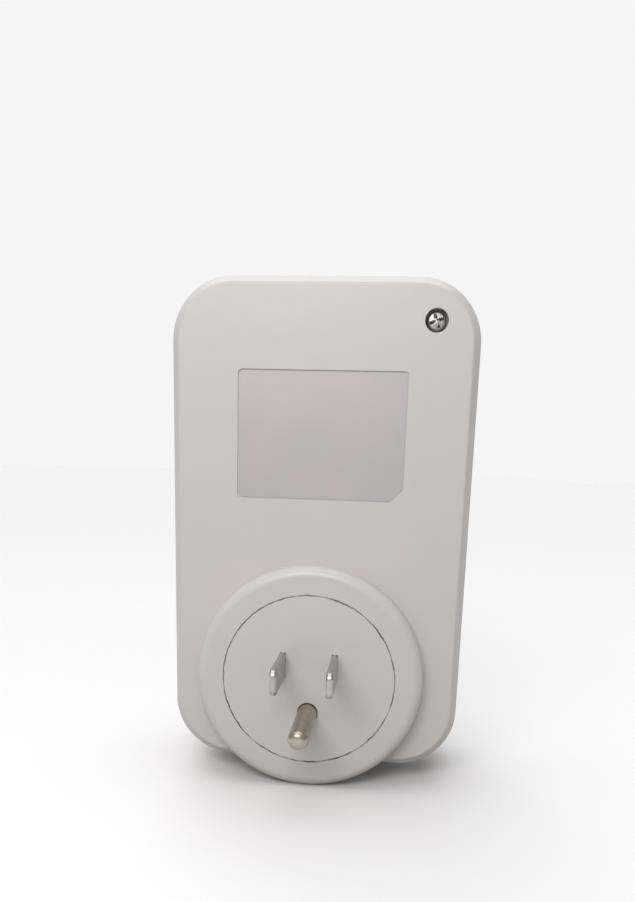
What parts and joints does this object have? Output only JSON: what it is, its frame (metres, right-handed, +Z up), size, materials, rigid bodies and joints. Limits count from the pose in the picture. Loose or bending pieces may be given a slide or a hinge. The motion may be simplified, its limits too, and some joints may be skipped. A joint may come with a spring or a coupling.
{
  "type": "plug in timer switch",
  "caption": "Plug-in mechanical timer switch: a turning dial ringed with push-down pins, a red mode slider, a grounded plug on the back and a grounded outlet on the front.",
  "frame": {"origin": "centre of the round plug face that seats on the wall outlet", "axes": "+Z up along the case, +Y out of the plug face along the blades, -Y towards the dial and the outlet"},
  "size_m": [0.0729, 0.0619, 0.1215],
  "materials": {
    "case_white": "satin injection moulding",
    "disc_white": "satin",
    "pointer_red": "gloss",
    "label_foil": "satin foil",
    "screw_zinc": "zinc plated",
    "plug_metal": "nickel plated brass",
    "pin_metal": "nickel plated brass",
    "contact_brass": "bare",
    "plate_plastic": "natural",
    "shaft_steel": "ground",
    "motor_steel": "zinc plated",
    "bobbin_plastic": "natural",
    "winding_copper": "enamelled copper wire",
    "switch_black": "moulded",
    "lens_red": "clear red plastic",
    "lamp_glass": "clear",
    "resistor_body": "lacquered",
    "wire_insulation": "pvc",
    "dial_white": "satin",
    "gear_nylon": "nylon",
    "rotor_magnet": "ferrite",
    "lever_acetal": "acetal",
    "plunger_red": "moulded",
    "switch_red": "gloss",
    "pin_blue": "satin"
  },
  "bodies": {
    "case": {"rear_housing": "case_white", "front_housing": "case_white", "time_pointer": "pointer_red", "rating_label": "label_foil", "self_tapping_screws": "screw_zinc", "plug_disc": "disc_white", "line_blade": "plug_metal", "neutral_blade": "plug_metal", "ground_pin": "pin_metal", "outlet_insert": "disc_white", "line_contact": "contact_brass", "neutral_contact": "contact_brass", "ground_contact": "contact_brass", "gear_plate": "plate_plastic", "gear_shafts": "shaft_steel", "dial_axle": "shaft_steel", "motor_cover": "motor_steel", "motor_cup": "motor_steel", "coil_bobbin": "bobbin_plastic", "coil_winding": "winding_copper", "switch_body": "switch_black", "switch_terminals": "contact_brass", "indicator_lens": "lens_red", "neon_lamp": "lamp_glass", "lamp_resistor": "resistor_body", "wires": "wire_insulation"},
    "dial": {"program_dial": "dial_white"},
    "drive_pinion": {"drive_pinion": "gear_nylon"},
    "clutch_gear": {"clutch_gear": "gear_nylon"},
    "second_gear": {"second_gear": "gear_nylon"},
    "first_gear": {"first_gear": "gear_nylon"},
    "motor_pinion": {"motor_pinion": "gear_nylon"},
    "rotor": {"rotor": "rotor_magnet"},
    "follower": {"cam_follower": "lever_acetal"},
    "plunger": {"switch_plunger": "plunger_red"},
    "mode_switch": {"mode_switch": "switch_red"},
    "pins_00": {"pins_hour_00": "pin_blue"},
    "pins_01": {"pins_hour_01": "pin_blue"},
    "pins_02": {"pins_hour_02": "pin_blue"},
    "pins_03": {"pins_hour_03": "pin_blue"},
    "pins_04": {"pins_hour_04": "pin_blue"},
    "pins_05": {"pins_hour_05": "pin_blue"},
    "pins_06": {"pins_hour_06": "pin_blue"},
    "pins_07": {"pins_hour_07": "pin_blue"},
    "pins_08": {"pins_hour_08": "pin_blue"},
    "pins_09": {"pins_hour_09": "pin_blue"},
    "pins_10": {"pins_hour_10": "pin_blue"},
    "pins_11": {"pins_hour_11": "pin_blue"},
    "pins_12": {"pins_hour_12": "pin_blue"},
    "pins_13": {"pins_hour_13": "pin_blue"},
    "pins_14": {"pins_hour_14": "pin_blue"},
    "pins_15": {"pins_hour_15": "pin_blue"},
    "pins_16": {"pins_hour_16": "pin_blue"},
    "pins_17": {"pins_hour_17": "pin_blue"},
    "pins_18": {"pins_hour_18": "pin_blue"},
    "pins_19": {"pins_hour_19": "pin_blue"},
    "pins_20": {"pins_hour_20": "pin_blue"},
    "pins_21": {"pins_hour_21": "pin_blue"},
    "pins_22": {"pins_hour_22": "pin_blue"},
    "pins_23": {"pins_hour_23": "pin_blue"}
  },
  "joints": [
    {"name": "dial_turn", "type": "hinge", "parent": "case", "child": "dial", "pos_m": [-0.001, -0.033, 0.0546], "axis": [0, 1, 0], "continuous": true},
    {"name": "drive_pinion_turn", "type": "hinge", "parent": "case", "child": "drive_pinion", "pos_m": [-0.01585, -0.03, 0.03975], "axis": [0, 1, 0], "continuous": true},
    {"name": "first_gear_turn", "type": "hinge", "parent": "case", "child": "first_gear", "pos_m": [-0.00091, -0.021, 0.06588], "axis": [0, 1, 0], "continuous": true},
    {"name": "motor_pinion_turn", "type": "hinge", "parent": "case", "child": "motor_pinion", "pos_m": [0.0125, -0.02, 0.05463], "axis": [0, 1, 0], "continuous": true},
    {"name": "second_gear_turn", "type": "hinge", "parent": "case", "child": "second_gear", "pos_m": [-0.01585, -0.023, 0.05725], "axis": [0, 1, 0], "continuous": true},
    {"name": "clutch_gear_turn", "type": "hinge", "parent": "case", "child": "clutch_gear", "pos_m": [-0.01585, -0.0246, 0.03975], "axis": [0, 1, 0], "continuous": true},
    {"name": "rotor_turn", "type": "hinge", "parent": "case", "child": "rotor", "pos_m": [0.01621, -0.013, 0.05577], "axis": [0, 1, 0], "continuous": true},
    {"name": "follower_swing", "type": "hinge", "parent": "case", "child": "follower", "pos_m": [0.014, -0.0245, 0.08365], "axis": [0, 0, -1], "range_deg": [0, 11.5]},
    {"name": "plunger_press", "type": "slide", "parent": "case", "child": "plunger", "axis": [0, 1, 0], "range_m": [0, 0.001]},
    {"name": "mode_slide", "type": "slide", "parent": "case", "child": "mode_switch", "axis": [0, 0, 1], "range_m": [0, 0.0052]},
    {"name": "pins_00_press", "type": "slide", "parent": "dial", "child": "pins_00", "axis": [0, 1, 0], "range_m": [0, 0.003]},
    {"name": "pins_01_press", "type": "slide", "parent": "dial", "child": "pins_01", "axis": [0, 1, 0], "range_m": [0, 0.003]},
    {"name": "pins_02_press", "type": "slide", "parent": "dial", "child": "pins_02", "axis": [0, 1, 0], "range_m": [0, 0.003]},
    {"name": "pins_03_press", "type": "slide", "parent": "dial", "child": "pins_03", "axis": [0, 1, 0], "range_m": [0, 0.003]},
    {"name": "pins_04_press", "type": "slide", "parent": "dial", "child": "pins_04", "axis": [0, 1, 0], "range_m": [0, 0.003]},
    {"name": "pins_05_press", "type": "slide", "parent": "dial", "child": "pins_05", "axis": [0, 1, 0], "range_m": [0, 0.003]},
    {"name": "pins_06_press", "type": "slide", "parent": "dial", "child": "pins_06", "axis": [0, 1, 0], "range_m": [0, 0.003]},
    {"name": "pins_07_press", "type": "slide", "parent": "dial", "child": "pins_07", "axis": [0, 1, 0], "range_m": [0, 0.003]},
    {"name": "pins_08_press", "type": "slide", "parent": "dial", "child": "pins_08", "axis": [0, 1, 0], "range_m": [0, 0.003]},
    {"name": "pins_09_press", "type": "slide", "parent": "dial", "child": "pins_09", "axis": [0, 1, 0], "range_m": [0, 0.003]},
    {"name": "pins_10_press", "type": "slide", "parent": "dial", "child": "pins_10", "axis": [0, 1, 0], "range_m": [0, 0.003]},
    {"name": "pins_11_press", "type": "slide", "parent": "dial", "child": "pins_11", "axis": [0, 1, 0], "range_m": [0, 0.003]},
    {"name": "pins_12_press", "type": "slide", "parent": "dial", "child": "pins_12", "axis": [0, 1, 0], "range_m": [0, 0.003]},
    {"name": "pins_13_press", "type": "slide", "parent": "dial", "child": "pins_13", "axis": [0, 1, 0], "range_m": [0, 0.003]},
    {"name": "pins_14_press", "type": "slide", "parent": "dial", "child": "pins_14", "axis": [0, 1, 0], "range_m": [0, 0.003]},
    {"name": "pins_15_press", "type": "slide", "parent": "dial", "child": "pins_15", "axis": [0, 1, 0], "range_m": [0, 0.003]},
    {"name": "pins_16_press", "type": "slide", "parent": "dial", "child": "pins_16", "axis": [0, 1, 0], "range_m": [0, 0.003]},
    {"name": "pins_17_press", "type": "slide", "parent": "dial", "child": "pins_17", "axis": [0, 1, 0], "range_m": [0, 0.003]},
    {"name": "pins_18_press", "type": "slide", "parent": "dial", "child": "pins_18", "axis": [0, 1, 0], "range_m": [0, 0.003]},
    {"name": "pins_19_press", "type": "slide", "parent": "dial", "child": "pins_19", "axis": [0, 1, 0], "range_m": [0, 0.003]},
    {"name": "pins_20_press", "type": "slide", "parent": "dial", "child": "pins_20", "axis": [0, 1, 0], "range_m": [0, 0.003]},
    {"name": "pins_21_press", "type": "slide", "parent": "dial", "child": "pins_21", "axis": [0, 1, 0], "range_m": [0, 0.003]},
    {"name": "pins_22_press", "type": "slide", "parent": "dial", "child": "pins_22", "axis": [0, 1, 0], "range_m": [0, 0.003]},
    {"name": "pins_23_press", "type": "slide", "parent": "dial", "child": "pins_23", "axis": [0, 1, 0], "range_m": [0, 0.003]}
  ],
  "couplings": [
    {"joint": "drive_pinion_turn", "follows": "dial_turn", "ratio": -6},
    {"joint": "motor_pinion_turn", "follows": "first_gear_turn", "ratio": -6},
    {"joint": "second_gear_turn", "follows": "first_gear_turn", "ratio": -0.15},
    {"joint": "clutch_gear_turn", "follows": "first_gear_turn", "ratio": 0.025},
    {"joint": "follower_swing", "follows": "pins_12_press", "rad_per_m": 66.6},
    {"joint": "plunger_press", "follows": "pins_12_press", "ratio": 0.333}
  ]
}
